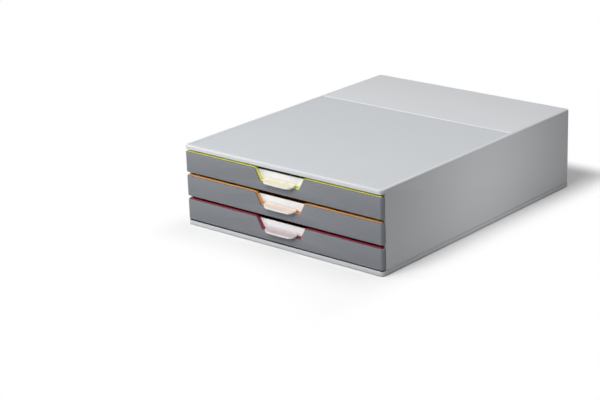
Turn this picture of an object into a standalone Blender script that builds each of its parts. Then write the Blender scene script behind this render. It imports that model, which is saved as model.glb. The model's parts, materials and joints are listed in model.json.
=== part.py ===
"""Desktop file drawer: a low box with three shallow drawers, one above the other.

Metres, +Z up. The drawers open towards -Y, and +X is to the right for someone in front of them.
The origin is at the middle of the footprint, on the surface that the feet stand on. The housing
and each drawer hang from an empty in the plane of the lid's front edge, so a depth below is a
distance behind that plane. A drawer's heights start at the bottom edge of its front panel.
"""

import math

import bmesh
import bpy
from mathutils import Vector

# Overall size of the housing
HOUSING_WIDTH = 0.280
HOUSING_DEPTH = 0.356
HOUSING_HEIGHT = 0.095

# Joint and running gaps
SEAM = 0.0003
RUNNING_GAP = 0.0004
CUT_OVERRUN = 0.005
CUT_LIFT = 0.00005

# Shell: the lid and the side walls
SIDE_WALL = 0.0025
LID_THICKNESS = 0.003
LID_LIP_HEIGHT = 0.005
LID_LIP_THICKNESS = 0.0025
CORNER_RADIUS = 0.004
TOP_EDGE_RADIUS = 0.0015
WALL_SETBACK = 0.0065
RECESS_DEPTH = 0.0009
RECESS_SIDE_BORDER = 0.0035
RECESS_FRONT_BORDER = 0.003
RECESS_LENGTH = 0.238
RECESS_CORNER_RADIUS = 0.002

# Base tray
BASE_RIM_HEIGHT = 0.0049
BASE_RIM_THICKNESS = 0.0015
BASE_FLOOR = 0.0025
BASE_EDGE_RADIUS = 0.0008

# Back wall
REAR_THICKNESS = 0.0025
REAR_INSET = 0.0005

# Feet
FOOT_STANDOFF = 0.0006
FOOT_RADIUS = 0.006
FOOT_HEIGHT = 0.002
FOOT_EDGE_RADIUS = 0.0003
FOOT_FROM_SIDE = 0.022
FOOT_FROM_END = 0.028

# Side frames with the runner ledges
FRAME_THICKNESS = 0.0015
FRAME_FROM_FRONT = 0.008
LEDGE_REACH = 0.007
LEDGE_THICKNESS = 0.0015
LEDGE_END_STEP = 0.0005
STOP_LENGTH = 0.008

# Front panels
PANEL_INSET = 0.0005
PANEL_SETBACK = 0.0004
PANEL_THICKNESS = 0.0022
PANEL_CORNER_RADIUS = 0.0025
PANEL_EDGE_RADIUS = 0.0005
PANEL_RETURN_GAP = 0.0012
BASE_GAP = 0.0014
LEVEL_GAP = 0.0045
LID_GAP = 0.0033

# Cut-out in each front panel, a trapezoid that is open at the top
CUTOUT_TOP_WIDTH = 0.070
CUTOUT_BOTTOM_WIDTH = 0.055
CUTOUT_DEPTH = 0.0136
CUTOUT_CORNER_RADIUS = 0.002
CUTOUT_TOP_RADIUS = 0.003

# Trays
TRAY_WALL = 0.0015
TRAY_FLOOR = 0.0015
TRAY_FLOOR_RISE = 0.001
TRAY_SIDE_GAP = 0.0007
TRAY_REAR_GAP = 0.010
TRAY_RIM_DROP = 0.0008
TRAY_FRONT_STEP = 0.0004
EDGE_STRIP_HEIGHT = 0.0012
EDGE_STRIP_INSET = 0.0012
EDGE_STRIP_CORNER_RADIUS = 0.0015
EDGE_WALL_THICKNESS = 0.002
EDGE_WALL_RISE = 0.0006
EDGE_WALL_DROP = 0.0002
FLANGE_THICKNESS = 0.0015
FLANGE_REACH = 0.0052
FLANGE_FROM_FRONT = 0.010
FLANGE_STEP = 0.0005
CATCH_STEP = 0.0002
CATCH_LENGTH = 0.010
CATCH_SIDE_GAP = 0.0005
DRAWER_TRAVEL = 0.240

# Pocket for the label, in the front wall of each tray
COLLAR_THICKNESS = 0.0005
COLLAR_SETBACK = 0.0012
POCKET_WALL = 0.0015
POCKET_REAR_DROP = 0.001
CARD_REST_HEIGHT = 0.0012

# Label window with its pull lip, and the card behind it
WINDOW_SETBACK = 0.003
WINDOW_THICKNESS = 0.0012
WINDOW_DROP = 0.0013
CARD_THICKNESS = 0.0005
LIP_SIDE_GAP = 0.0048
LIP_REACH = 0.0062
LIP_BOW = 0.0008
LIP_CORNER_RADIUS = 0.007
LIP_THICKNESS = 0.0016
LIP_RISE_AT_WINDOW = 0.0039
LIP_RISE_AT_RIM = 0.0007

# Counts and angles
ROUND_SEGMENTS = 6
SMALL_ROUND_SEGMENTS = 3
FOOT_SIDES = 32
LIP_COLUMNS = 24
LIP_ROWS = 2
SHARP_ANGLE = math.radians(35)

# Colours as 0-255 sRGB. The drawers run from the top down, each with the colour of its tray.
DRAWERS = (
    ("top", (228, 216, 62)),
    ("middle", (228, 140, 48)),
    ("bottom", (172, 38, 66)),
)
SHELL_GREY = (206, 209, 212)
INNER_GREY = (176, 179, 184)
FRONT_GREY = (112, 116, 122)
CARD_WHITE = (246, 246, 244)
WINDOW_CLEAR = (238, 240, 240)
RUBBER_BLACK = (40, 40, 42)

# Heights of the housing's pieces
base_bottom = FOOT_STANDOFF
base_top = base_bottom + BASE_RIM_HEIGHT
floor_top = base_bottom + BASE_FLOOR
shell_bottom = base_top + SEAM
lid_underside = HOUSING_HEIGHT - LID_THICKNESS
lid_lip_underside = HOUSING_HEIGHT - LID_LIP_HEIGHT

# Half widths
housing_half = HOUSING_WIDTH / 2
inner_half = housing_half - SIDE_WALL
panel_half = housing_half - PANEL_INSET
panel_inner_half = panel_half - PANEL_THICKNESS
edge_wall_half = panel_inner_half - RUNNING_GAP
edge_strip_half = panel_half - EDGE_STRIP_INSET
frame_outer = inner_half - SEAM
frame_inner = frame_outer - FRAME_THICKNESS
ledge_inner = frame_inner - LEDGE_REACH
tray_half = ledge_inner - TRAY_SIDE_GAP
flange_half = tray_half + FLANGE_REACH
catch_half = frame_inner - CATCH_SIDE_GAP
stop_inner = flange_half + RUNNING_GAP

# Depths
rear_outer = HOUSING_DEPTH - REAR_INSET
rear_inner = rear_outer - REAR_THICKNESS
frame_back = rear_inner - SEAM
panel_back = PANEL_SETBACK + PANEL_THICKNESS
edge_wall_front = panel_back + SEAM
edge_wall_back = edge_wall_front + EDGE_WALL_THICKNESS
window_front = PANEL_SETBACK + WINDOW_SETBACK
window_back = window_front + WINDOW_THICKNESS
card_front = window_back + SEAM
card_back = card_front + CARD_THICKNESS
pocket_back = card_back + SEAM
pocket_rear = pocket_back + POCKET_WALL
tray_back = rear_inner - TRAY_REAR_GAP
flange_back = tray_back - FLANGE_STEP
catch_back = flange_back - CATCH_STEP
catch_front = catch_back - CATCH_LENGTH
stop_back = catch_front - DRAWER_TRAVEL - RUNNING_GAP

# The panels share the height between the base tray and the lid
level_gaps = (len(DRAWERS) - 1) * LEVEL_GAP
panel_heights = lid_lip_underside - LID_GAP - base_top - BASE_GAP - level_gaps
panel_height = panel_heights / len(DRAWERS)
pitch = panel_height + LEVEL_GAP

# Heights of a drawer's features
cutout_floor = panel_height - CUTOUT_DEPTH
pocket_floor = cutout_floor + SEAM + COLLAR_THICKNESS
card_rest = pocket_floor + CARD_REST_HEIGHT
edge_top = panel_height + EDGE_STRIP_HEIGHT
edge_wall_top = edge_top - EDGE_WALL_DROP
tray_rim = edge_top - TRAY_RIM_DROP
flange_top = tray_rim - FLANGE_STEP
flange_bottom = flange_top - FLANGE_THICKNESS
shelf_top = flange_bottom - SEAM
guard_bottom = flange_top + RUNNING_GAP
window_top = panel_height - WINDOW_DROP

cutout_slope = (CUTOUT_TOP_WIDTH - CUTOUT_BOTTOM_WIDTH) / 2 / CUTOUT_DEPTH
cutout_turn = math.atan2(1, cutout_slope)
pocket_inset = SEAM + COLLAR_THICKNESS
label_inset = pocket_inset + SEAM
front_plane = (LIP_REACH - PANEL_SETBACK - HOUSING_DEPTH) / 2


def clear_scene():
    for old in list(bpy.data.objects):
        bpy.data.objects.remove(old, do_unlink=True)


def new_collection(name):
    collection = bpy.data.collections.new(name)
    bpy.context.scene.collection.children.link(collection)
    return collection


def new_empty(name, location):
    empty = bpy.data.objects.new(name, None)
    empty.location = location
    empty.empty_display_size = LEDGE_REACH
    parts.objects.link(empty)
    return empty


def linear(channel):
    """A 0-255 sRGB channel as the linear value that a shader takes."""
    share = channel / 255
    return share / 12.92 if share <= 0.04045 else ((share + 0.055) / 1.055) ** 2.4


def new_material(name, colour, roughness, alpha=1.0):
    material = bpy.data.materials.new(name)
    material.use_nodes = True
    base_colour = (*(linear(channel) for channel in colour), 1)
    shader = material.node_tree.nodes["Principled BSDF"]
    shader.inputs["Base Color"].default_value = base_colour
    shader.inputs["Roughness"].default_value = roughness
    shader.inputs["Metallic"].default_value = 0
    shader.inputs["Alpha"].default_value = alpha
    material.diffuse_color = (*base_colour[:3], alpha)
    return material


def box_shape(low, high):
    """A bmesh box between two corners."""
    low, high = Vector(low), Vector(high)
    shape = bmesh.new()
    bmesh.ops.create_cube(shape, size=1)
    bmesh.ops.scale(shape, vec=high - low, verts=shape.verts)
    bmesh.ops.translate(shape, vec=(low + high) / 2, verts=shape.verts)
    return shape


def disc_shape(centre, radius, bottom, top):
    shape = bmesh.new()
    bmesh.ops.create_cone(
        shape, cap_ends=True, segments=FOOT_SIDES, radius1=radius, radius2=radius,
        depth=top - bottom,
    )
    middle = Vector((centre.x, centre.y, (bottom + top) / 2))
    bmesh.ops.translate(shape, vec=middle, verts=shape.verts)
    return shape


def half_at(height, inset):
    """Half the cut-out's width at a height, with its sloping sides moved in by inset."""
    wall_lean = math.hypot(1, cutout_slope)
    return CUTOUT_BOTTOM_WIDTH / 2 + cutout_slope * (height - cutout_floor) - inset * wall_lean


def is_upright(a, b):
    return math.hypot(a.x - b.x, a.y - b.y) < SEAM


def runs_back(a, b):
    return math.hypot(a.x - b.x, a.z - b.z) < SEAM


def at_height(height):
    return lambda a, b: abs(a.z - height) < SEAM and abs(b.z - height) < SEAM


def at_depth(depth):
    return lambda a, b: abs(a.y - depth) < SEAM and abs(b.y - depth) < SEAM


def round_edges(shape, radius, chosen, segments=ROUND_SEGMENTS):
    """Rounds each edge whose two ends pass the chosen test."""
    edges = [edge for edge in shape.edges if chosen(edge.verts[0].co, edge.verts[1].co)]
    bmesh.ops.bevel(
        shape, geom=edges, offset=radius, segments=segments, profile=0.5,
        affect="EDGES", material=-1, clamp_overlap=True,
    )


def corner_reach(radius):
    """How far a rounding of this radius reaches along the sides of the cut-out's corners."""
    return radius * math.tan(cutout_turn / 2)


def trapezoid_shape(inset, depths, heights):
    """A block with the cut-out's outline, moved in by inset, between two depths and two heights."""
    bottom, top = heights
    shape = box_shape((-SEAM, depths[0], bottom), (SEAM, depths[1], top))
    for vert in shape.verts:
        vert.co.x = math.copysign(half_at(vert.co.z, inset), vert.co.x)
    radius = max(CUTOUT_CORNER_RADIUS - inset, SEAM)
    at_bottom = at_height(bottom)
    round_edges(shape, corner_reach(radius), lambda a, b: at_bottom(a, b) and runs_back(a, b))
    return shape


def extrude(shape, faces, move):
    made = bmesh.ops.extrude_face_region(shape, geom=faces)["geom"]
    verts = [item for item in made if isinstance(item, bmesh.types.BMVert)]
    bmesh.ops.translate(shape, vec=move, verts=verts)
    bmesh.ops.delete(shape, geom=faces, context="FACES_ONLY")


def brimmed_shape(inset, depths, heights, brim, brim_half):
    """A trapezoid block whose sides bend outwards at the brim and run on to half the brim's width."""
    bottom, top = heights
    shape = trapezoid_shape(inset, depths, (bottom, brim))
    above = brim - SEAM
    cap = [face for face in shape.faces if all(vert.co.z > above for vert in face.verts)]
    extrude(shape, cap, Vector((0, 0, top - brim)))
    neck_half = half_at(brim, inset)
    for side in (-1, 1):
        flank = [
            face for face in shape.faces
            if all(vert.co.z > above and vert.co.x * side > neck_half - SEAM for vert in face.verts)
        ]
        extrude(shape, flank, Vector((side * (brim_half - neck_half), 0, 0)))
    at_brim = at_height(brim)
    round_edges(
        shape, corner_reach(CUTOUT_TOP_RADIUS + inset),
        lambda a, b: at_brim(a, b) and runs_back(a, b) and abs(a.x) < neck_half + SEAM,
    )
    return shape


def new_object(name, shape, collection, parent, material=None):
    mesh = bpy.data.meshes.new(name)
    shape.to_mesh(mesh)
    shape.free()
    mesh.shade_smooth()
    mesh.set_sharp_from_angle(angle=SHARP_ANGLE)
    if material:
        mesh.materials.append(material)
    made = bpy.data.objects.new(name, mesh)
    made.parent = parent
    collection.objects.link(made)
    return made


class Piece:
    """One sub-part, with live Booleans that add shapes to it or cut shapes from it."""

    def __init__(self, name, shape, material, parent):
        self.body = new_object(name, shape, parts, parent, material)

    def _combine(self, label, shape, operation):
        guide = new_object(f"{self.body.name}_{label}", shape, cutters, self.body.parent)
        guide.hide_render = True
        guide.display_type = "WIRE"
        step = self.body.modifiers.new(label, "BOOLEAN")
        step.operation = operation
        step.solver = "EXACT"
        step.object = guide
        return guide

    def add(self, label, shape):
        return self._combine(label, shape, "UNION")

    def cut(self, label, shape):
        return self._combine(label, shape, "DIFFERENCE")


def build_shell(housing, material):
    outer = box_shape((-housing_half, 0, shell_bottom), (housing_half, HOUSING_DEPTH, HOUSING_HEIGHT))
    round_edges(outer, CORNER_RADIUS, is_upright)
    round_edges(outer, TOP_EDGE_RADIUS, at_height(HOUSING_HEIGHT))
    shell = Piece("housing_shell", outer, material, housing)
    shell.cut("inside", box_shape(
        (-inner_half, LID_LIP_THICKNESS, shell_bottom - CUT_OVERRUN),
        (inner_half, HOUSING_DEPTH + CUT_OVERRUN, lid_underside),
    ))
    shell.cut("mouth", box_shape(
        (-housing_half - CUT_OVERRUN, -CUT_OVERRUN, shell_bottom - CUT_OVERRUN),
        (housing_half + CUT_OVERRUN, WALL_SETBACK, lid_lip_underside),
    ))
    recess_half = housing_half - RECESS_SIDE_BORDER
    recess = box_shape(
        (-recess_half, RECESS_FRONT_BORDER, HOUSING_HEIGHT - RECESS_DEPTH),
        (recess_half, RECESS_FRONT_BORDER + RECESS_LENGTH, HOUSING_HEIGHT + CUT_OVERRUN),
    )
    round_edges(recess, RECESS_CORNER_RADIUS, is_upright)
    shell.cut("recess", recess)


def foot_places():
    """Name and centre of each foot."""
    side = housing_half - FOOT_FROM_SIDE
    for end, depth in (("front", FOOT_FROM_END), ("rear", HOUSING_DEPTH - FOOT_FROM_END)):
        for hand, across in (("left", -side), ("right", side)):
            yield f"{end}_{hand}_foot", Vector((across, depth, 0))


def build_base(housing, material):
    outer = box_shape((-housing_half, 0, base_bottom), (housing_half, HOUSING_DEPTH, base_top))
    round_edges(outer, CORNER_RADIUS, is_upright)
    round_edges(outer, BASE_EDGE_RADIUS, at_height(base_bottom), SMALL_ROUND_SEGMENTS)
    base = Piece("base_tray", outer, material, housing)
    inside_half = housing_half - BASE_RIM_THICKNESS
    base.cut("inside", box_shape(
        (-inside_half, BASE_RIM_THICKNESS, floor_top),
        (inside_half, HOUSING_DEPTH - BASE_RIM_THICKNESS, base_top + CUT_OVERRUN),
    ))
    for name, centre in foot_places():
        base.cut(f"{name}_seat", disc_shape(
            centre, FOOT_RADIUS + SEAM, base_bottom - CUT_OVERRUN, FOOT_HEIGHT + SEAM
        ))


def build_feet(housing, material):
    for name, centre in foot_places():
        shape = disc_shape(Vector((0, 0, 0)), FOOT_RADIUS, 0, FOOT_HEIGHT)
        round_edges(shape, FOOT_EDGE_RADIUS, at_height(0), 1)
        foot = new_object(name, shape, parts, housing, material)
        foot.location = centre


def build_rear(housing, material):
    wall_half = inner_half - SEAM
    wall = box_shape(
        (-wall_half, rear_inner, shell_bottom), (wall_half, rear_outer, lid_underside - SEAM)
    )
    Piece("rear_panel", wall, material, housing)


def levels():
    """Name, tray colour and bottom height of each drawer."""
    above = len(DRAWERS)
    for name, colour in DRAWERS:
        above -= 1
        yield name, colour, base_top + BASE_GAP + above * pitch


def side_box(side, across, depths, heights):
    """A box on one side of the middle: side is 1 for the right and -1 for the left."""
    near, far = sorted(side * place for place in across)
    return box_shape((near, depths[0], heights[0]), (far, depths[1], heights[1]))


def build_frame(name, side, housing, material):
    """A side frame: a thin plate with a shelf, a guard above it and a stop for each drawer."""
    plate_heights = (floor_top + SEAM, lid_underside - SEAM)
    plate_length = (FRAME_FROM_FRONT, frame_back)
    plate = side_box(side, (frame_inner, frame_outer), plate_length, plate_heights)
    length = (FRAME_FROM_FRONT + LEDGE_END_STEP, frame_back - LEDGE_END_STEP)
    frame = Piece(name, plate, material, housing)
    rooted = (frame_inner + frame_outer) / 2
    for level, _, bottom in levels():
        shelf = (bottom + shelf_top - LEDGE_THICKNESS, bottom + shelf_top)
        guard = (bottom + guard_bottom, bottom + guard_bottom + LEDGE_THICKNESS)
        stop = (sum(shelf) / 2, sum(guard) / 2)
        frame.add(f"{level}_shelf", side_box(side, (ledge_inner, rooted), length, shelf))
        frame.add(f"{level}_guard", side_box(side, (ledge_inner, rooted), length, guard))
        frame.add(f"{level}_stop", side_box(
            side, (stop_inner, rooted), (stop_back - STOP_LENGTH, stop_back), stop
        ))


def build_panel(level, drawer, material):
    """A front panel with rounded ends that turn back to the side walls."""
    return_end = WALL_SETBACK - PANEL_RETURN_GAP
    outer = box_shape((-panel_half, PANEL_SETBACK, 0), (panel_half, return_end, panel_height))
    at_face = at_depth(PANEL_SETBACK)
    at_rear = at_depth(return_end)
    round_edges(outer, PANEL_CORNER_RADIUS, lambda a, b: is_upright(a, b) and at_face(a, b))
    round_edges(
        outer, PANEL_EDGE_RADIUS,
        lambda a, b: not is_upright(a, b) and not at_rear(a, b) and abs(a.z - b.z) < SEAM,
        SMALL_ROUND_SEGMENTS,
    )
    panel = Piece(f"{level}_front_panel", outer, material, drawer)
    panel.cut("inside", box_shape(
        (-panel_inner_half, panel_back, -CUT_OVERRUN),
        (panel_inner_half, return_end + CUT_OVERRUN, panel_height + CUT_OVERRUN),
    ))
    panel.cut("cutout", brimmed_shape(
        0, (-CUT_OVERRUN, panel_back + CUT_OVERRUN), (cutout_floor, panel_height + CUT_OVERRUN),
        panel_height + CUT_LIFT, panel_half,
    ))


def build_tray(level, drawer, material):
    """A tray with a coloured front wall, which shows above the panel and round its cut-out."""
    rooted = (edge_wall_front + edge_wall_back) / 2
    body = box_shape((-tray_half, rooted, TRAY_FLOOR_RISE), (tray_half, tray_back, tray_rim))
    tray = Piece(f"{level}_tray", body, material, drawer)
    tray.add("front_wall", box_shape(
        (-edge_wall_half, edge_wall_front, EDGE_WALL_RISE),
        (edge_wall_half, edge_wall_back, edge_wall_top),
    ))
    inside_half = tray_half - TRAY_WALL
    tray.cut("inside", box_shape(
        (-inside_half, edge_wall_back + TRAY_FRONT_STEP, TRAY_FLOOR_RISE + TRAY_FLOOR),
        (inside_half, tray_back - TRAY_WALL, edge_top + CUT_OVERRUN),
    ))
    flange = (flange_bottom, flange_top)
    catch = (flange_bottom + CATCH_STEP, flange_top - CATCH_STEP)
    wall_middle = tray_half - TRAY_WALL / 2
    for hand, side in (("left", -1), ("right", 1)):
        tray.add(f"{hand}_flange", side_box(
            side, (wall_middle, flange_half), (FLANGE_FROM_FRONT, flange_back), flange
        ))
        tray.add(f"{hand}_catch", side_box(
            side, ((tray_half + flange_half) / 2, catch_half), (catch_front, catch_back), catch
        ))
    strip_front = PANEL_SETBACK + COLLAR_SETBACK
    rim = brimmed_shape(
        SEAM, (strip_front, rooted), (cutout_floor + SEAM, edge_top), panel_height + SEAM,
        edge_strip_half,
    )
    at_front = at_depth(strip_front)
    round_edges(
        rim, EDGE_STRIP_CORNER_RADIUS,
        lambda a, b: is_upright(a, b) and at_front(a, b) and abs(a.x) > edge_wall_half,
    )
    tray.add("rim", rim)
    tray.add("pocket_wall", trapezoid_shape(
        pocket_inset - POCKET_WALL, (rooted, pocket_rear),
        (pocket_floor - POCKET_WALL, window_top - POCKET_REAR_DROP),
    ))
    tray.cut("pocket", brimmed_shape(
        pocket_inset, (-CUT_OVERRUN, pocket_back), (pocket_floor, edge_top + CUT_OVERRUN),
        edge_top + CUT_LIFT, edge_strip_half,
    ))
    half_wall = POCKET_WALL / 2
    tray.add("card_rest", trapezoid_shape(
        pocket_inset - half_wall, (card_front, pocket_back + half_wall),
        (pocket_floor - half_wall, card_rest),
    ))


def lip_shape():
    """The flat top of the pull lip: straight at the window, bowed at its rim, with round corners."""
    half = half_at(pocket_floor, pocket_inset) - LIP_SIDE_GAP
    root = (window_front + window_back) / 2
    tip = PANEL_SETBACK - LIP_REACH
    fall = (LIP_RISE_AT_WINDOW - LIP_RISE_AT_RIM) / (root - tip)
    shape = bmesh.new()
    bmesh.ops.create_grid(shape, x_segments=LIP_COLUMNS, y_segments=LIP_ROWS, size=1)
    for vert in shape.verts:
        across = math.sin(math.pi / 2 * vert.co.x)
        out = (1 - vert.co.y) / 2
        into_corner = max(1 - (1 - abs(across)) * half / LIP_CORNER_RADIUS, 0)
        corner = LIP_CORNER_RADIUS * (1 - math.sqrt(1 - into_corner**2))
        rim = tip + LIP_BOW * across**2 + corner
        depth = root + (rim - root) * out
        rise = LIP_RISE_AT_WINDOW - fall * (root - depth)
        vert.co = (half * across, depth, pocket_floor + rise)
    return shape


def build_label(level, drawer, clear, white):
    """The clear window with its pull lip, and the card that stands behind it on a low rest."""
    window = trapezoid_shape(
        label_inset, (window_front, window_back), (pocket_floor + SEAM, window_top)
    )
    lip = Piece(f"{level}_label_window", window, clear, drawer).add("lip", lip_shape())
    wall = lip.modifiers.new("thickness", "SOLIDIFY")
    wall.thickness = LIP_THICKNESS
    wall.offset = -1
    card = trapezoid_shape(label_inset, (card_front, card_back), (card_rest + SEAM, window_top))
    Piece(f"{level}_label_card", card, white, drawer)


def build_housing():
    housing = new_empty("housing", (0, front_plane, 0))
    grey = new_material("shell_grey", SHELL_GREY, 0.45)
    inner = new_material("inner_grey", INNER_GREY, 0.5)
    build_shell(housing, grey)
    build_base(housing, grey)
    build_rear(housing, grey)
    build_feet(housing, new_material("foot_rubber", RUBBER_BLACK, 0.8))
    build_frame("left_runner_frame", -1, housing, inner)
    build_frame("right_runner_frame", 1, housing, inner)


def build_drawers():
    front_grey = new_material("front_grey", FRONT_GREY, 0.4)
    clear = new_material("window_clear", WINDOW_CLEAR, 0.08, alpha=0.3)
    white = new_material("card_white", CARD_WHITE, 0.7)
    for level, colour, bottom in levels():
        drawer = new_empty(f"{level}_drawer", (0, front_plane, bottom))
        build_tray(level, drawer, new_material(f"{level}_tray_colour", colour, 0.4))
        build_panel(level, drawer, front_grey)
        build_label(level, drawer, clear, white)


clear_scene()
parts = new_collection("desktop_file_drawer")
cutters = new_collection("cutters")
build_housing()
build_drawers()
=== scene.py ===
"""Looks for a desktop file drawer: finer surfaces, finishes, camera and studio light.

Metres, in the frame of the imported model: +Z up, the drawers open towards -Y, and +X is to the right
for someone in front of them. The housing stands still and each drawer rides on its own slide.
"""

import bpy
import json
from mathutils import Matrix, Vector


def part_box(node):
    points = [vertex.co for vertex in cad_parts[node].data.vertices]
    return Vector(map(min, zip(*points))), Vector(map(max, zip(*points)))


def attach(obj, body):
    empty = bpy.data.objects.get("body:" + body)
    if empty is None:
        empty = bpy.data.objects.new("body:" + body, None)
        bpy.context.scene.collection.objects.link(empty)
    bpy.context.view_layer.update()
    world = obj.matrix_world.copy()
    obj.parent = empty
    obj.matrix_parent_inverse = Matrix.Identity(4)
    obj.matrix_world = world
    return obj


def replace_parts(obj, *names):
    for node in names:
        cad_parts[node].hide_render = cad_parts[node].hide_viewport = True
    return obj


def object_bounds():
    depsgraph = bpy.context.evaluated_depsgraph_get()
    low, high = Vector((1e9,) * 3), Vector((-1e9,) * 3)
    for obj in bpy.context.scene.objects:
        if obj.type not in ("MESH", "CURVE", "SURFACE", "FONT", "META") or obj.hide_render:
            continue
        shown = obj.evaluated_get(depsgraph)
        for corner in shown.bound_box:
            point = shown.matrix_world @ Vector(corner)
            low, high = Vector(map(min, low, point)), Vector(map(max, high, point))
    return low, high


bl_info = {
    "name": "Desktop file drawer",
    "version": (1, 0, 0),
    "blender": (4, 5, 0),
    "location": "3D View > Sidebar > File drawer",
    "description": "Dresses the packed model of a desktop file drawer and sets up its studio",
    "category": "Object",
}

import json
import math

import bmesh
import bpy
from bpy.props import FloatProperty, FloatVectorProperty, PointerProperty
from mathutils import Matrix, Vector

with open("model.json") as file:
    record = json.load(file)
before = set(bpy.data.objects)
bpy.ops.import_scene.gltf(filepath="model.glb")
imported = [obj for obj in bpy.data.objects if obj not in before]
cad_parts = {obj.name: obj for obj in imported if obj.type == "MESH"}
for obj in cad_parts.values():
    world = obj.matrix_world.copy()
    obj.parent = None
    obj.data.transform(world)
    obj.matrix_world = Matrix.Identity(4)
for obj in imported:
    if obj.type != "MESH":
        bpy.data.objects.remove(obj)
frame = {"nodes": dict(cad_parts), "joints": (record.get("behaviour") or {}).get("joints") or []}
cad_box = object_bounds()

LEVELS = ("top", "middle", "bottom")

# Vertices nearer than these are merged: equal ones, and ones with only a sliver between them
WELD = 1e-6
SLIVER = 6e-5
# Places nearer than this count as the same
NEAR = 2e-5
# Edges that turn by less than the first angle are dissolved, and by more than the second are sharp
FLAT_ANGLE = math.radians(0.2)
SHARP_ANGLE = math.radians(35)
# Steps in the rounding of corners, of edges and of the finest edges
ROUND_SEGMENTS = 8
EDGE_SEGMENTS = 3
FINE_SEGMENTS = 2

# A foot's steps around, and the share of its radius that the dish takes
FOOT_STEPS = 48
DISH_SHARE = 0.7
# A pull lip's columns across, its rows as shares of its length, and the rows of its rim and the
# end of its blend into the rim, both in radii of the rim's rounding
LIP_COLUMNS = 40
LIP_ROWS = (0.8, 0.65, 0.5)
LIP_RIM_STEPS = (4, 3, 2.2, 1.6, 1, 0.617, 0.293, 0.076, 0)
RIM_BLEND = 3
# Material slots: the recess in the shell, and the lip and its rim in a window
RECESS_SLOT = 1
LIP_SLOT, RIM_SLOT = 1, 2

# Sizes and details of the patterns in the materials
DRIFT_SIZE, HAZE_SIZE, FIBRE_SIZE = 0.05, 0.004, 0.0005
DRIFT_DETAIL, GRAIN_DETAIL, FIBRE_DETAIL = 1.0, 2.0, 3.0
# How far the patterns take a colour, as shares of it
DRIFT_TONES = (0.985, 1.015)
HAZE_TONE, FIBRE_TONE = 0.99, 0.985
# How strong and deep the grain is, and how far roughness drifts in plain and in clear plastic
GRAIN_STRENGTH, GRAIN_DEPTH = 0.35, 0.00003
GLOSS_DRIFT, HAZE_DRIFT = 0.06, 0.05
PLASTIC_INDEX = 1.5
# How far a lip rim's surface faces sideways where its ends start and where they are full, and where its
# painted highlight fades out
END_TURN = (0.05, 0.5)

PICTURE_WIDTH = 600
SENSOR_WIDTH = 36
CLIP_START, CLIP_END = 0.01, 100

# The camera's place and turn, fitted to the corners of the housing in the photograph
FOCAL_PIXELS = 1698.9
CAMERA_PLACE = (1.1548, -1.4549, 0.6598)
CAMERA_AZIMUTH = math.radians(41.32)
CAMERA_ELEVATION = math.radians(19.30)
CAMERA_ROLL = math.radians(-2.12)

# The softboxes: where each one stands, what it points at, and its width and height
KEY_PLACE, KEY_TARGET, KEY_SIZE = (0, -1, 1.1), (0, 0, 0.05), (0.7, 0.7)
LEFT_PLACE, LEFT_TARGET, LEFT_SIZE = (-1.3, -0.9, 0.5), (-0.05, -0.17, 0.05), (0.6, 0.5)
RIGHT_PLACE, RIGHT_TARGET, RIGHT_SIZE = (0.5, 0.03, 0.1), (0.14, 0.01, 0.05), (0.12, 0.08)
RIGHT_SPREAD = math.radians(60)
TOP_PLACE, TOP_TARGET, TOP_SIZE = (0.2, 0.3, 1.6), (0, 0, 0.05), (1.2, 1.2)


def linear(channel):
    """A 0-255 sRGB channel as the linear value that a shader takes."""
    share = channel / 255
    return share / 12.92 if share <= 0.04045 else ((share + 0.055) / 1.055) ** 2.4


def srgb(*channels):
    """A colour from its 0-255 sRGB channels."""
    return tuple(linear(channel) for channel in channels)


def length_property(name, description, default):
    return FloatProperty(
        name=name, description=description, default=default, min=0, subtype="DISTANCE", unit="LENGTH",
        precision=5,
    )


def colour_property(name, description, default):
    return FloatVectorProperty(
        name=name, description=description, default=default, min=0, max=1, size=3, subtype="COLOR"
    )


def power_property(name, description, default):
    return FloatProperty(name=name, description=description, default=default, min=0, unit="POWER")


def share_property(name, description, default):
    return FloatProperty(
        name=name, description=description, default=default, min=0, max=1, subtype="FACTOR"
    )


class HousingLooks(bpy.types.PropertyGroup):
    shell_colour: colour_property("Shell", "Light grey of lid, sides and base", srgb(211, 213, 216))
    recess_colour: colour_property("Recess", "Grey of the recess in the lid", srgb(199, 202, 206))
    inner_colour: colour_property("Inside", "Grey of the side frames", srgb(176, 179, 184))
    foot_colour: colour_property("Feet", "Black of the rubber feet", srgb(40, 40, 42))
    shell_roughness: share_property("Shell roughness", "Roughness of lid, sides and base", 0.5)
    recess_roughness: share_property("Recess roughness", "Roughness of the recess", 0.55)
    inner_roughness: share_property("Inside roughness", "Roughness of the side frames", 0.55)
    foot_roughness: share_property("Feet roughness", "Roughness of the feet", 0.8)
    edge_radius: length_property("Edge radius", "Rounding of the moulded edges", 0.0003)
    foot_roll: length_property("Foot roll", "Rounding of a foot's lower edge", 0.0007)
    dish_depth: length_property("Foot dish", "Depth of the dish under a foot", 0.0003)
    grain_size: length_property("Grain", "Size of the grain in the moulded surfaces", 0.0006)
    recess_depth: length_property("Recess depth", "How far the recess lies below the lid's rim", 0.0009)
    recess_draft: length_property("Recess draft", "How far the recess's walls lean in", 0.0011)
    recess_grain_size: length_property("Recess grain", "Size of the grain in the recess", 0.0009)


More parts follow.
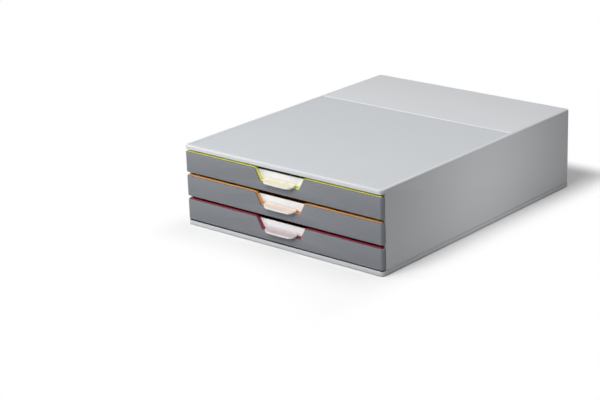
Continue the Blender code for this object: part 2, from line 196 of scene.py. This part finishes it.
class DrawerLooks(bpy.types.PropertyGroup):
    front_colour: colour_property("Fronts", "Dark grey of the front panels", srgb(123, 126, 132))
    top_colour: colour_property("Top tray", "Yellow of the top tray", srgb(240, 237, 102))
    middle_colour: colour_property("Middle tray", "Orange of the middle tray", srgb(230, 160, 88))
    bottom_colour: colour_property("Bottom tray", "Red of the bottom tray", srgb(148, 33, 55))
    card_colour: colour_property("Label card", "White of the label cards", srgb(254, 254, 254))
    window_colour: colour_property("Window", "Tint of the clear windows", srgb(252, 252, 252))
    # Painted highlight: the white of the lip rims stands in for the glare of the studio light on clear
    # plastic
    rim_highlight_colour: colour_property("Lip rim", "Milky rims of the pull lips", srgb(236, 236, 234))
    # Painted reflection: each lip's pale colour stands in for the white glare on the clear lip, with the
    # colour of its tray shining through
    top_lip_glare_colour: colour_property("Top lip", "Clear, with yellow shining through", srgb(246, 240, 214))
    middle_lip_glare_colour: colour_property("Middle lip", "The same with orange", srgb(246, 230, 218))
    bottom_lip_glare_colour: colour_property("Bottom lip", "The same with red", srgb(216, 200, 204))
    front_roughness: share_property("Front roughness", "Roughness of the front panels", 0.42)
    tray_roughness: share_property("Tray roughness", "Roughness of the trays", 0.4)
    card_roughness: share_property("Card roughness", "Roughness of the label cards", 0.8)
    clear_roughness: share_property("Clear roughness", "Roughness of windows and lips", 0.08)
    window_cover: share_property("Window cover", "How much the windows hide", 0.06)
    # This cover lets the painted glare on the lips hide what lies behind them
    lip_cover: share_property("Lip cover", "How much the lips hide", 0.8)
    # These covers let the rims' painted highlight hide what lies behind, less where the rims turn
    # sideways at their ends
    rim_highlight_cover: share_property("Rim cover", "How much the lips' rims hide", 0.9)
    rim_highlight_end_cover: share_property("Rim end cover", "How much the rims hide at their ends", 0.25)
    grain_size: length_property("Grain", "Size of the grain in the moulded surfaces", 0.0004)
    panel_thickness: length_property("Panel thickness", "Wall of the front panels", 0.0022)
    panel_corner_radius: length_property("Panel corners", "Rounding of the upright corners", 0.0025)
    panel_edge_radius: length_property("Panel edges", "Rounding of a panel's edges", 0.0003)
    cutout_top: length_property("Cut-out top", "Width of the cut-out at the panel's top edge", 0.070)
    cutout_bottom: length_property("Cut-out floor", "Width of the cut-out at its floor", 0.055)
    cutout_depth: length_property("Cut-out depth", "Height of the cut-out", 0.0136)
    cutout_top_radius: length_property("Cut-out brim", "Rounding of the cut-out's upper corners", 0.003)
    cutout_floor_radius: length_property("Cut-out corners", "Rounding of its lower corners", 0.002)
    tray_wall: length_property("Tray wall", "Thickness of the trays' walls and floor", 0.0015)
    tray_corner_radius: length_property("Tray corners", "Rounding of a tray's corners inside", 0.005)
    tray_floor_radius: length_property("Tray floor", "Rounding between walls and floor", 0.003)
    tray_clear: length_property("Tray front", "Depth of a tray's front wall with its pocket", 0.009)
    rim_edge_radius: length_property("Rim edges", "Rounding of the rims of the trays", 0.0004)
    strip_edge_radius: length_property("Strip edges", "Rounding of the strips' front edges", 0.00012)
    window_thickness: length_property("Window thickness", "Thickness of the clear windows", 0.0012)
    window_rise: length_property("Window rise", "Height of a window above the cut-out", 0.0011)
    label_corner_radius: length_property("Label corners", "Lower corners of windows and cards", 0.0012)
    label_edge_radius: length_property("Label edges", "Edges of windows and cards", 0.0001)
    lip_width: length_property("Lip width", "Width of the pull lips", 0.0444)
    lip_rise: length_property("Lip rise", "Height of a lip's root above the cut-out's floor", 0.00456)
    lip_fall: length_property("Lip fall", "How much lower a lip ends than it starts", 0.00306)
    lip_thickness: length_property("Lip thickness", "Thickness of the lips behind their rims", 0.0013)
    lip_bow: length_property("Lip bow", "How far the middle of a rim stands out", 0.0008)
    lip_corner_radius: length_property("Lip corners", "Rounding of a lip's front corners", 0.007)
    rim_height: length_property("Rim height", "Height of the rims of the lips", 0.0015)
    rim_depth: length_property("Rim depth", "Depth of the rims of the lips", 0.0013)
    rim_radius: length_property("Rim radius", "Rounding of the rims of the lips", 0.0005)


class StageLooks(bpy.types.PropertyGroup):
    floor_colour: colour_property("Floor", "Pale floor", srgb(253, 253, 253))
    bounce_colour: colour_property("Floor bounce", "Floor, as it lights the object", srgb(165, 165, 165))
    floor_size: length_property("Floor size", "Width of the square floor", 12.0)
    shadow_reach: length_property("Shadow reach", "Distance at which the floor turns white", 0.045)
    rear_shadow: length_property("Rear shadow", "Length of floor that stays grey behind the box", 0.045)
    key_power: power_property("Key light", "Power of the softbox above the front", 12.7)
    left_power: power_property("Left light", "Power of the softbox at the left", 10.4)
    right_power: power_property("Right light", "Power of the small softbox at the right", 0.039)
    top_power: power_property("Top light", "Power of the large softbox overhead", 6.6)
    world_strength: share_property("Ambient", "Strength of the light from all around", 0.152)


class Value:
    """A number that a node gives. Sums and products of values add Math nodes."""

    def __init__(self, shading, socket):
        self.shading = shading
        self.socket = socket

    def _math(self, operation, *terms):
        node = self.shading.node(
            "ShaderNodeMath", {"operation": operation}, dict(enumerate(terms))
        )
        return node.value(0)

    def __add__(self, other):
        return self._math("ADD", self, other)

    def __sub__(self, other):
        return self._math("SUBTRACT", self, other)

    def __mul__(self, other):
        return self._math("MULTIPLY", self, other)

    __radd__ = __add__
    __rmul__ = __mul__


class Node:
    """A node in a tree, whose outputs are read by name or number."""

    def __init__(self, shading, made):
        self.shading = shading
        self.made = made

    def value(self, output=0):
        return Value(self.shading, self.made.outputs[output])

    def link(self, output=0):
        return self.made.outputs[output]


class Shading:
    """The node tree of a material or world, emptied and then filled node by node."""

    def __init__(self, owner):
        owner.use_nodes = True
        self.owner = owner
        self.tree = owner.node_tree
        self.tree.nodes.clear()

    def node(self, kind, settings=None, inputs=None):
        made = self.tree.nodes.new(kind)
        for setting, value in (settings or {}).items():
            setattr(made, setting, value)
        for socket, value in (inputs or {}).items():
            if isinstance(value, Value):
                value = value.socket
            if isinstance(value, bpy.types.NodeSocket):
                self.tree.links.new(value, made.inputs[socket])
            else:
                made.inputs[socket].default_value = value
        return Node(self, made)

    def mix_colour(self, share, first, second):
        """Sockets 6 and 7 of a Mix node are its colours, and output 2 is their mixture."""
        first, second = (
            colour if isinstance(colour, bpy.types.NodeSocket) else (*colour, 1)
            for colour in (first, second)
        )
        settings = {"data_type": "RGBA"}
        return self.node("ShaderNodeMix", settings, {0: share, 6: first, 7: second}).link(2)

    def noise(self, place, size, detail=GRAIN_DETAIL):
        inputs = {"Vector": place, "Scale": 1 / size, "Detail": detail}
        return self.node("ShaderNodeTexNoise", None, inputs).value("Fac")

    def finish(self, surface):
        owner = "World" if isinstance(self.owner, bpy.types.World) else "Material"
        self.node(f"ShaderNodeOutput{owner}", None, {"Surface": surface})


def new_shading(name):
    return Shading(bpy.data.materials.new(name))


def toned(colour, share):
    return [share * channel for channel in colour]


def moulded(name, colour, grain_size, roughness):
    """Moulded plastic: fine even grain, with slow drifts of tone and gloss over the surface."""
    shading = new_shading(name)
    place = shading.node("ShaderNodeTexCoord").link("Object")
    grain = shading.noise(place, grain_size)
    drift = shading.noise(place, DRIFT_SIZE, DRIFT_DETAIL)
    tone = shading.mix_colour(drift, *(toned(colour, share) for share in DRIFT_TONES))
    bump = shading.node("ShaderNodeBump", None, {
        "Strength": GRAIN_STRENGTH, "Distance": GRAIN_DEPTH, "Height": grain.socket,
    }).link(0)
    rough = roughness + GLOSS_DRIFT * (drift - 0.5)
    surface = shading.node("ShaderNodeBsdfPrincipled", None, {
        "Base Color": tone, "Roughness": rough, "Normal": bump, "IOR": PLASTIC_INDEX,
    }).link(0)
    shading.finish(surface)
    return shading.owner


def clear_plastic(name, colour, roughness, cover, end_cover=None):
    """Clear plastic that hides a share of what lies behind it: cover, and end_cover at its ends."""
    shading = new_shading(name)
    place = shading.node("ShaderNodeTexCoord").link("Object")
    haze = shading.noise(place, HAZE_SIZE)
    tone = shading.mix_colour(haze, toned(colour, HAZE_TONE), colour)
    # Where the surface faces sideways the cover turns to end_cover; on the lip rims this fades their
    # painted highlight
    if end_cover is not None:
        facing = shading.node("ShaderNodeNewGeometry").link("True Normal")
        across = shading.node("ShaderNodeSeparateXYZ", None, {0: facing}).value(0)
        sideways = shading.node("ShaderNodeMath", {"operation": "ABSOLUTE"}, {0: across}).value(0)
        start, full = END_TURN
        cover = shading.node("ShaderNodeMapRange", {"interpolation_type": "SMOOTHSTEP"}, {
            "Value": sideways, "From Min": start, "From Max": full, "To Min": cover, "To Max": end_cover,
        }).value("Result")
    rough = roughness + HAZE_DRIFT * haze
    surface = shading.node("ShaderNodeBsdfPrincipled", None, {
        "Base Color": tone, "Roughness": rough, "Alpha": cover, "IOR": PLASTIC_INDEX,
    }).link(0)
    shading.finish(surface)
    return shading.owner


def card(name, colour, roughness):
    """Plain card with fine fibres."""
    shading = new_shading(name)
    place = shading.node("ShaderNodeTexCoord").link("Object")
    fibre = shading.noise(place, FIBRE_SIZE, FIBRE_DETAIL)
    tone = shading.mix_colour(fibre, toned(colour, FIBRE_TONE), colour)
    surface = shading.node(
        "ShaderNodeBsdfPrincipled", None, {"Base Color": tone, "Roughness": roughness}
    ).link(0)
    shading.finish(surface)
    return shading.owner


def merged_copy(node, weld=WELD):
    """A CAD node's surface as a new shape: its loose triangles merged and its flat faces made whole."""
    shape = bmesh.new()
    shape.from_mesh(frame["nodes"][node].data)
    bmesh.ops.remove_doubles(shape, verts=shape.verts, dist=weld)
    make_whole(shape)
    return shape


def make_whole(shape):
    """Joins neighbouring faces that lie in one plane."""
    bmesh.ops.dissolve_limit(
        shape, angle_limit=FLAT_ANGLE, use_dissolve_boundaries=False,
        verts=shape.verts, edges=shape.edges, delimit=set(),
    )


def new_piece(name, shape, body, slot, *materials):
    """An object made from a shape, which rides on a body; its slot argument is not used."""
    mesh = bpy.data.meshes.new(name)
    shape.to_mesh(mesh)
    shape.free()
    for material in materials:
        mesh.materials.append(material)
    mesh.shade_smooth()
    mesh.set_sharp_from_angle(angle=SHARP_ANGLE)
    piece = bpy.data.objects.new(name, mesh)
    bpy.context.scene.collection.objects.link(piece)
    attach(piece, body)
    return piece


def ease_edges(piece, radius):
    """Rounds the sharp edges of a piece and keeps its flat faces flat."""
    bevel = piece.modifiers.new("eased_edges", "BEVEL")
    bevel.width = radius
    bevel.segments = EDGE_SEGMENTS
    bevel.limit_method = "ANGLE"
    bevel.angle_limit = SHARP_ANGLE
    bevel.use_clamp_overlap = False
    bevel.harden_normals = True


def same(a, b):
    return abs(a - b) < NEAR


def runs_back(a, b):
    return same(a.x, b.x) and same(a.z, b.z)


def is_upright(a, b):
    return same(a.x, b.x) and same(a.y, b.y)


def round_off(shape, edges, radius, segments):
    bmesh.ops.bevel(
        shape, geom=edges, offset=radius, segments=segments, profile=0.5,
        affect="EDGES", material=-1, clamp_overlap=False,
    )


def round_edges(shape, radius, chosen, segments=ROUND_SEGMENTS):
    """Rounds each edge whose two ends pass the chosen test."""
    edges = [edge for edge in shape.edges if chosen(edge.verts[0].co, edge.verts[1].co)]
    round_off(shape, edges, radius, segments)


def round_sharp(shape, radius, segments):
    """Rounds every edge that still turns sharply."""
    edges = [edge for edge in shape.edges if edge.calc_face_angle(0) > SHARP_ANGLE]
    round_off(shape, edges, radius, segments)


def extrude(shape, faces, keep=False):
    """Extrudes faces that are next to each other and gives the new vertices and faces."""
    made = bmesh.ops.extrude_face_region(shape, geom=faces, use_keep_orig=keep)["geom"]
    kinds = (bmesh.types.BMVert, bmesh.types.BMFace)
    return [[item for item in made if isinstance(item, kind)] for kind in kinds]


def push(shape, faces, move):
    """Extrudes faces that are next to each other and moves them on."""
    verts, _ = extrude(shape, faces)
    bmesh.ops.translate(shape, vec=move, verts=verts)
    bmesh.ops.delete(shape, geom=faces, context="FACES_KEEP_BOUNDARY")


def draw_in(face, distance):
    """Moves the outline of a face inwards, so that the walls round it lean."""
    moves = []
    for corner in face.loops:
        before = corner.vert.co - corner.link_loop_prev.vert.co
        after = corner.link_loop_next.vert.co - corner.vert.co
        inward = face.normal.cross(before.normalized() + after.normalized()).normalized()
        moves.append((corner.vert, distance * inward))
    for vert, move in moves:
        vert.co += move


def plate(outline, front, back):
    """A flat plate between two depths, from its outline as places across and up."""
    shape = bmesh.new()
    face = shape.faces.new([shape.verts.new((across, front, up)) for across, up in outline])
    verts, _ = extrude(shape, [face], keep=True)
    bmesh.ops.translate(shape, vec=(0, back - front, 0), verts=verts)
    bmesh.ops.recalc_face_normals(shape, faces=shape.faces)
    return shape


def corner_reach(radius, turn):
    """How far the rounding of a corner that turns by this angle reaches along its sides."""
    return radius * math.tan(turn / 2)


def panel_shape(low, high, looks):
    """A front panel: a plate with the cut-out, whose rounded ends turn back."""
    back = low.y + looks.panel_thickness
    inner_half = high.x - looks.panel_thickness
    floor = high.z - looks.cutout_depth
    brim_half = looks.cutout_top / 2
    floor_half = looks.cutout_bottom / 2
    shape = plate((
        (low.x, low.z), (high.x, low.z), (high.x, high.z), (brim_half, high.z), (floor_half, floor),
        (-floor_half, floor), (-brim_half, high.z), (low.x, high.z),
    ), low.y, back)
    for side in (-1, 1):
        bmesh.ops.bisect_plane(
            shape, geom=[*shape.verts, *shape.edges, *shape.faces],
            plane_co=(side * inner_half, 0, 0), plane_no=(1, 0, 0),
        )
    for side in (-1, 1):
        ends = [
            face for face in shape.faces
            if all(same(v.co.y, back) and v.co.x * side > inner_half - NEAR for v in face.verts)
        ]
        push(shape, ends, (0, high.y - back, 0))
    make_whole(shape)
    turn = math.atan2(looks.cutout_depth, brim_half - floor_half)
    round_edges(
        shape, corner_reach(looks.cutout_top_radius, turn),
        lambda a, b: runs_back(a, b) and same(abs(a.x), brim_half),
    )
    round_edges(
        shape, corner_reach(looks.cutout_floor_radius, turn),
        lambda a, b: runs_back(a, b) and same(abs(a.x), floor_half),
    )
    radius = looks.panel_corner_radius
    round_edges(shape, radius, lambda a, b: is_upright(a, b) and same(a.y, low.y))
    round_edges(
        shape, radius - looks.panel_thickness, lambda a, b: is_upright(a, b) and same(a.y, back)
    )
    round_sharp(shape, looks.panel_edge_radius, EDGE_SEGMENTS)
    return shape


def tray_shape(level, looks):
    """A tray from its CAD solid, with rounded corners and floor inside and eased edges in front."""
    low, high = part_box(f"{level}_tray")
    shape = merged_copy(f"{level}_tray", SLIVER)
    wall = looks.tray_wall
    back = high.y - wall
    top = max(v.co.z for v in shape.verts if same(v.co.y, high.y))
    side = max(v.co.x for v in shape.verts if same(v.co.y, high.y)) - wall
    bottom = min(v.co.z for v in shape.verts if same(v.co.y, high.y))
    round_edges(
        shape, looks.tray_corner_radius, lambda a, b: is_upright(a, b) and same(abs(a.x), side)
    )
    floor = bottom + wall
    round_edges(
        shape, looks.tray_floor_radius,
        lambda a, b: same(a.z, floor) and same(b.z, floor) and max(abs(a.x), abs(b.x)) < side + NEAR,
    )
    round_edges(
        shape, looks.rim_edge_radius,
        lambda a, b: same(a.z, top) and same(b.z, top) and min(a.y, b.y) > low.y + looks.tray_clear,
        FINE_SEGMENTS,
    )
    round_edges(
        shape, looks.strip_edge_radius,
        lambda a, b: same(a.y, low.y) and same(b.y, low.y) and not is_upright(a, b),
        FINE_SEGMENTS,
    )
    return shape


def slanted_plate(low, high, looks):
    """A plate that follows the cut-out's slanting sides, with rounded lower corners and eased edges."""
    lean = (looks.cutout_top - looks.cutout_bottom) / 2 / looks.cutout_depth
    foot_half = high.x - lean * (high.z - low.z)
    shape = plate(
        ((-foot_half, low.z), (foot_half, low.z), (high.x, high.z), (-high.x, high.z)), low.y, high.y
    )
    round_edges(
        shape, looks.label_corner_radius,
        lambda a, b: runs_back(a, b) and same(abs(a.x), foot_half),
    )
    round_sharp(shape, looks.label_edge_radius, FINE_SEGMENTS)
    return shape


def eased(distance, radius):
    """How far a surface has dropped at this distance from an edge rounded by this radius."""
    inward = radius - min(distance, radius)
    return radius - math.sqrt(radius**2 - inward**2)


def fade(value, low, high):
    """0 below low, 1 above high, and a smooth rise between them."""
    share = min(max((value - low) / (high - low), 0), 1)
    return share * share * (3 - 2 * share)


def flat_front(shape, depth):
    """The faces that lie at this depth."""
    return [face for face in shape.faces if all(same(vert.co.y, depth) for vert in face.verts)]


def draw_lip(shape, front, tip, root, looks):
    """Draws the pull lip out of a window's front face: a thin tongue with a taller rounded rim."""
    half = looks.lip_width / 2
    length = front - tip
    foot = root - looks.lip_thickness

    def rim_at(across):
        into_corner = max(1 - (1 - across) * half / looks.lip_corner_radius, 0)
        corner = looks.lip_corner_radius * (1 - math.sqrt(1 - into_corner**2))
        return tip + looks.lip_bow * across**2 + corner

    cuts = [((0, 0, height), (0, 0, 1)) for height in (root, foot)]
    for column in range(LIP_COLUMNS + 1):
        across = math.sin(math.pi / 2 * (2 * column / LIP_COLUMNS - 1))
        cuts.append(((half * across, 0, 0), (1, 0, 0)))
    for place, way in cuts:
        faces = flat_front(shape, front)
        verts = {vert for face in faces for vert in face.verts}
        edges = {edge for face in faces for edge in face.edges}
        bmesh.ops.bisect_plane(shape, geom=[*verts, *edges, *faces], plane_co=place, plane_no=way)
    upper = shape.verts.layers.int.new("upper")
    for vert in shape.verts:
        vert[upper] = same(vert.co.z, root)
    faces = [
        face for face in flat_front(shape, front)
        if all(abs(v.co.x) < half + NEAR and foot - NEAR < v.co.z < root + NEAR for v in face.verts)
    ]
    rounding = [looks.rim_radius * step for step in LIP_RIM_STEPS]
    for share, distance in [*((share, 0) for share in LIP_ROWS), *((0, step) for step in rounding)]:
        verts, made = extrude(shape, faces)
        bmesh.ops.delete(shape, geom=faces, context="FACES_KEEP_BOUNDARY")
        faces = made
        for vert in verts:
            across = min(abs(vert.co.x) / half, 1)
            rim = rim_at(across)
            to_rim = distance + share * (front - rim)
            drop = eased(min(to_rim, (1 - across) * half), looks.rim_radius)
            deepened = 1 - fade(to_rim, looks.rim_radius, RIM_BLEND * looks.rim_radius)
            deep = looks.lip_thickness + deepened * (looks.rim_height - looks.lip_thickness)
            top = root - looks.lip_fall * (front - rim - to_rim) / length
            vert.co.y = rim + to_rim
            vert.co.z = top - drop if vert[upper] else top - deep + drop
    shape.verts.layers.int.remove(upper)
    for face in shape.faces:
        middle = face.calc_center_median()
        if middle.y < front - NEAR:
            to_rim = middle.y - rim_at(min(abs(middle.x) / half, 1))
            face.material_index = LIP_SLOT if to_rim > looks.rim_depth else RIM_SLOT


def foot_shape(low, high, looks):
    """A rubber foot: a round pad with a rolled edge and a shallow dish in its underside."""
    radius = (high.x - low.x) / 2
    roll = looks.foot_roll
    dish_half = radius * DISH_SHARE
    dish_top = low.z + looks.dish_depth
    profile = [(0, dish_top), (dish_half - looks.dish_depth, dish_top), (dish_half, low.z)]
    for step in range(ROUND_SEGMENTS + 1):
        turn = math.pi / 2 * step / ROUND_SEGMENTS
        profile.append((
            radius - roll + roll * math.sin(turn), low.z + roll - roll * math.cos(turn)
        ))
    profile += [(radius, high.z - looks.dish_depth), (radius - looks.dish_depth, high.z), (0, high.z)]
    shape = bmesh.new()
    centre = Vector(((low.x + high.x) / 2, (low.y + high.y) / 2, 0))
    verts = [shape.verts.new(centre + Vector((across, 0, up))) for across, up in profile]
    edges = [shape.edges.new(pair) for pair in zip(verts, verts[1:])]
    bmesh.ops.spin(
        shape, geom=[*verts, *edges], cent=centre, axis=(0, 0, 1), angle=2 * math.pi,
        steps=FOOT_STEPS, use_merge=True,
    )
    bmesh.ops.remove_doubles(shape, verts=shape.verts, dist=WELD)
    bmesh.ops.recalc_face_normals(shape, faces=shape.faces)
    return shape


class FILE_DRAWER_OT_housing(bpy.types.Operator):
    """Lid with side walls, base tray, back wall and side frames"""
    bl_idname = "file_drawer.housing"
    bl_label = "Housing"

    def execute(self, context):
        looks = context.scene.housing_looks
        grey = moulded("shell_plastic", looks.shell_colour, looks.grain_size, looks.shell_roughness)
        recess = moulded(
            "recess_plastic", looks.recess_colour, looks.recess_grain_size, looks.recess_roughness
        )
        inner = moulded("frame_plastic", looks.inner_colour, looks.grain_size, looks.inner_roughness)
        shape = merged_copy("housing_shell")
        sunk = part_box("housing_shell")[1].z - looks.recess_depth
        floor = next(face for face in shape.faces if all(same(v.co.z, sunk) for v in face.verts))
        floor.material_index = RECESS_SLOT
        draw_in(floor, looks.recess_draft)
        shell = new_piece("shell_skin", shape, "housing", "shell_grey", grey, recess)
        ease_edges(shell, looks.edge_radius)
        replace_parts(shell, "housing_shell")
        for node, material, slot in (
            ("base_tray", grey, "shell_grey"),
            ("rear_panel", grey, "shell_grey"),
            ("left_runner_frame", inner, "inner_grey"),
            ("right_runner_frame", inner, "inner_grey"),
        ):
            skin = new_piece(f"{node}_skin", merged_copy(node), "housing", slot, material)
            ease_edges(skin, looks.edge_radius)
            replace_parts(skin, node)
        return {"FINISHED"}


class FILE_DRAWER_OT_feet(bpy.types.Operator):
    """Rubber feet under the base"""
    bl_idname = "file_drawer.feet"
    bl_label = "Feet"

    def execute(self, context):
        looks = context.scene.housing_looks
        rubber = moulded("foot_rubber", looks.foot_colour, looks.grain_size, looks.foot_roughness)
        for end in ("front", "rear"):
            for hand in ("left", "right"):
                node = f"{end}_{hand}_foot"
                shape = foot_shape(*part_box(node), looks)
                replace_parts(new_piece(f"{node}_pad", shape, "housing", "foot_rubber", rubber), node)
        return {"FINISHED"}


class FILE_DRAWER_OT_trays(bpy.types.Operator):
    """Coloured trays, whose rims show above the panels and round the cut-outs"""
    bl_idname = "file_drawer.trays"
    bl_label = "Trays"

    def execute(self, context):
        looks = context.scene.drawer_looks
        slots = dict(zip(LEVELS, ("tray_yellow", "tray_orange", "tray_red")))
        for level in LEVELS:
            bright = moulded(
                f"{level}_tray_plastic", getattr(looks, f"{level}_colour"), looks.grain_size,
                looks.tray_roughness,
            )
            tray = new_piece(
                f"{level}_tray_skin", tray_shape(level, looks), f"{level}_drawer", slots[level], bright
            )
            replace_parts(tray, f"{level}_tray")
        return {"FINISHED"}


class FILE_DRAWER_OT_fronts(bpy.types.Operator):
    """Dark front panels with their cut-outs and turned-back ends"""
    bl_idname = "file_drawer.fronts"
    bl_label = "Front panels"

    def execute(self, context):
        looks = context.scene.drawer_looks
        dark = moulded("front_plastic", looks.front_colour, looks.grain_size, looks.front_roughness)
        for level in LEVELS:
            shape = panel_shape(*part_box(f"{level}_front_panel"), looks)
            panel = new_piece(f"{level}_front_skin", shape, f"{level}_drawer", "front_grey", dark)
            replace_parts(panel, f"{level}_front_panel")
        return {"FINISHED"}


class FILE_DRAWER_OT_labels(bpy.types.Operator):
    """Clear windows with their pull lips, and the cards behind them"""
    bl_idname = "file_drawer.labels"
    bl_label = "Label windows and cards"

    def execute(self, context):
        looks = context.scene.drawer_looks
        rough = looks.clear_roughness
        clear = clear_plastic("window_plastic", looks.window_colour, rough, looks.window_cover)
        # The lip rims' material paints the glare of the studio light on them
        rim = clear_plastic(
            "lip_rim_plastic", looks.rim_highlight_colour, rough, looks.rim_highlight_cover, looks.rim_highlight_end_cover
        )
        white = card("label_card", looks.card_colour, looks.card_roughness)
        for level in LEVELS:
            body = f"{level}_drawer"
            # Each lip's material paints the glare on it and the tray's colour seen through it
            glare_tone = getattr(looks, f"{level}_lip_glare_colour")
            lip_glare = clear_plastic(f"{level}_lip_plastic", glare_tone, rough, looks.lip_cover)
            cutout_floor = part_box(f"{level}_front_panel")[1].z - looks.cutout_depth
            low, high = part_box(f"{level}_label_window")
            front = high.y - looks.window_thickness
            shape = slanted_plate(
                Vector((low.x, front, cutout_floor + looks.window_rise)), high, looks
            )
            draw_lip(shape, front, low.y, cutout_floor + looks.lip_rise, looks)
            window = new_piece(
                f"{level}_window_and_lip", shape, body, "window_clear", clear, lip_glare, rim
            )
            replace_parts(window, f"{level}_label_window")
            shape = slanted_plate(*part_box(f"{level}_label_card"), looks)
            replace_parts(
                new_piece(f"{level}_card", shape, body, "card_white", white), f"{level}_label_card"
            )
        return {"FINISHED"}


def softbox(name, place, target, size, power, spread=math.pi):
    """An area light that the camera doesn't see, at a place and pointed at a target."""
    light = bpy.data.lights.new(name, "AREA")
    light.shape = "RECTANGLE"
    light.size, light.size_y = size
    light.energy = power
    light.spread = spread
    lamp = bpy.data.objects.new(name, light)
    lamp.location = place
    lamp.rotation_mode = "QUATERNION"
    lamp.rotation_quaternion = (Vector(target) - Vector(place)).to_track_quat("-Z", "Y")
    lamp.visible_camera = False
    bpy.context.scene.collection.objects.link(lamp)


def seen_directly(shading):
    """1 for the camera and for reflections and clear pieces, 0 for light on the object."""
    path = shading.node("ShaderNodeLightPath")
    rays = ("Is Camera Ray", "Is Glossy Ray", "Is Transmission Ray")
    camera, glossy, clear = (path.value(ray) for ray in rays)
    direct = camera + glossy + clear
    return shading.node("ShaderNodeClamp", None, {"Value": direct}).value(0)


class FILE_DRAWER_OT_stage(bpy.types.Operator):
    """Pale floor, soft studio light and the camera"""
    bl_idname = "file_drawer.stage"
    bl_label = "Stage"

    def execute(self, context):
        looks = context.scene.stage_looks
        scene = context.scene
        scene.view_settings.view_transform = "Standard"
        self.floor(looks)
        self.world(scene, looks)
        softbox("key_softbox", KEY_PLACE, KEY_TARGET, KEY_SIZE, looks.key_power)
        softbox("left_softbox", LEFT_PLACE, LEFT_TARGET, LEFT_SIZE, looks.left_power)
        softbox(
            "right_softbox", RIGHT_PLACE, RIGHT_TARGET, RIGHT_SIZE, looks.right_power, RIGHT_SPREAD
        )
        softbox("top_softbox", TOP_PLACE, TOP_TARGET, TOP_SIZE, looks.top_power)
        self.camera(scene)
        return {"FINISHED"}

    def floor(self, looks):
        shape = bmesh.new()
        bmesh.ops.create_grid(shape, x_segments=1, y_segments=1, size=looks.floor_size / 2)
        mesh = bpy.data.meshes.new("floor")
        shape.to_mesh(mesh)
        shape.free()
        floor = bpy.data.objects.new("floor", mesh)
        bpy.context.scene.collection.objects.link(floor)
        shading = new_shading("floor_paper")
        place = shading.node("ShaderNodeTexCoord").link("Object")
        haze = shading.noise(place, HAZE_SIZE)
        colour = looks.floor_colour
        tone = shading.mix_colour(haze, toned(colour, HAZE_TONE), colour)
        direct = seen_directly(shading)
        tone = shading.mix_colour(direct, looks.bounce_colour, tone)
        paper = shading.node("ShaderNodeBsdfDiffuse", None, {"Color": tone}).link(0)
        white = shading.node("ShaderNodeEmission", None, {"Strength": 1}).link(0)
        far = self.farness(shading, place, looks)
        mixed = shading.node("ShaderNodeMixShader", None, {0: far * direct, 1: paper, 2: white})
        shading.finish(mixed.link(0))
        mesh.materials.append(shading.owner)

    def farness(self, shading, place, looks):
        """0 under the box, its open drawers and its rear shadow, rising to 1 around them."""
        travel = max(joint["range_m"][1] for joint in frame["joints"])
        low, high = (Vector(corner) for corner in cad_box)
        low.y -= travel
        high.y += looks.rear_shadow
        low.z = high.z = 0

        def vector_math(operation, first, second=(0, 0, 0)):
            settings = {"operation": operation}
            node = shading.node("ShaderNodeVectorMath", settings, {0: first, 1: second})
            return node.link("Value" if operation == "LENGTH" else "Vector")

        offset = vector_math("SUBTRACT", place, (low + high) / 2)
        beyond = vector_math("SUBTRACT", vector_math("ABSOLUTE", offset), (high - low) / 2)
        distance = vector_math("LENGTH", vector_math("MAXIMUM", beyond))
        return shading.node("ShaderNodeMapRange", {"interpolation_type": "SMOOTHSTEP"}, {
            "Value": distance, "From Min": 0, "From Max": looks.shadow_reach,
        }).value("Result")

    def world(self, scene, looks):
        scene.world = bpy.data.worlds.new("studio")
        shading = Shading(scene.world)
        direct = seen_directly(shading)
        strength = direct * (1 - looks.world_strength) + looks.world_strength
        inputs = {"Color": (1, 1, 1, 1), "Strength": strength}
        shading.finish(shading.node("ShaderNodeBackground", None, inputs).link(0))

    def camera(self, scene):
        data = bpy.data.cameras.new("camera")
        data.sensor_width = SENSOR_WIDTH
        data.lens = FOCAL_PIXELS * SENSOR_WIDTH / PICTURE_WIDTH
        data.clip_start = CLIP_START
        data.clip_end = CLIP_END
        camera = bpy.data.objects.new("camera", data)
        azimuth, elevation = CAMERA_AZIMUTH, CAMERA_ELEVATION
        back = Vector((
            math.sin(azimuth) * math.cos(elevation), -math.cos(azimuth) * math.cos(elevation),
            math.sin(elevation),
        ))
        camera.rotation_mode = "QUATERNION"
        level = (-back).to_track_quat("-Z", "Y")
        camera.rotation_quaternion = level @ Matrix.Rotation(CAMERA_ROLL, 3, "Z").to_quaternion()
        camera.location = CAMERA_PLACE
        scene.collection.objects.link(camera)
        scene.camera = camera


class FILE_DRAWER_PT_sidebar(bpy.types.Panel):
    """Lists the pieces and the sizes and colours that they use"""
    bl_idname = "FILE_DRAWER_PT_sidebar"
    bl_label = "File drawer"
    bl_space_type = "VIEW_3D"
    bl_region_type = "UI"
    bl_category = "File drawer"

    def draw(self, context):
        for group in LOOKS:
            looks = getattr(context.scene, group)
            for name in looks.__annotations__:
                self.layout.prop(looks, name)
        for operator in OPERATORS:
            self.layout.operator(operator.bl_idname)


OPERATORS = (
    FILE_DRAWER_OT_housing,
    FILE_DRAWER_OT_feet,
    FILE_DRAWER_OT_trays,
    FILE_DRAWER_OT_fronts,
    FILE_DRAWER_OT_labels,
    FILE_DRAWER_OT_stage,
)
LOOKS = {"housing_looks": HousingLooks, "drawer_looks": DrawerLooks, "stage_looks": StageLooks}


def register():
    for made in (*LOOKS.values(), *OPERATORS, FILE_DRAWER_PT_sidebar):
        bpy.utils.register_class(made)
    for name, looks in LOOKS.items():
        setattr(bpy.types.Scene, name, PointerProperty(type=looks))


def unregister():
    for name in LOOKS:
        delattr(bpy.types.Scene, name)
    for made in (FILE_DRAWER_PT_sidebar, *reversed(OPERATORS), *reversed(LOOKS.values())):
        bpy.utils.unregister_class(made)


def main():
    register()
    bpy.ops.file_drawer.housing()
    bpy.ops.file_drawer.feet()
    bpy.ops.file_drawer.trays()
    bpy.ops.file_drawer.fronts()
    bpy.ops.file_drawer.labels()
    bpy.ops.file_drawer.stage()


if __name__ == "__main__":
    main()
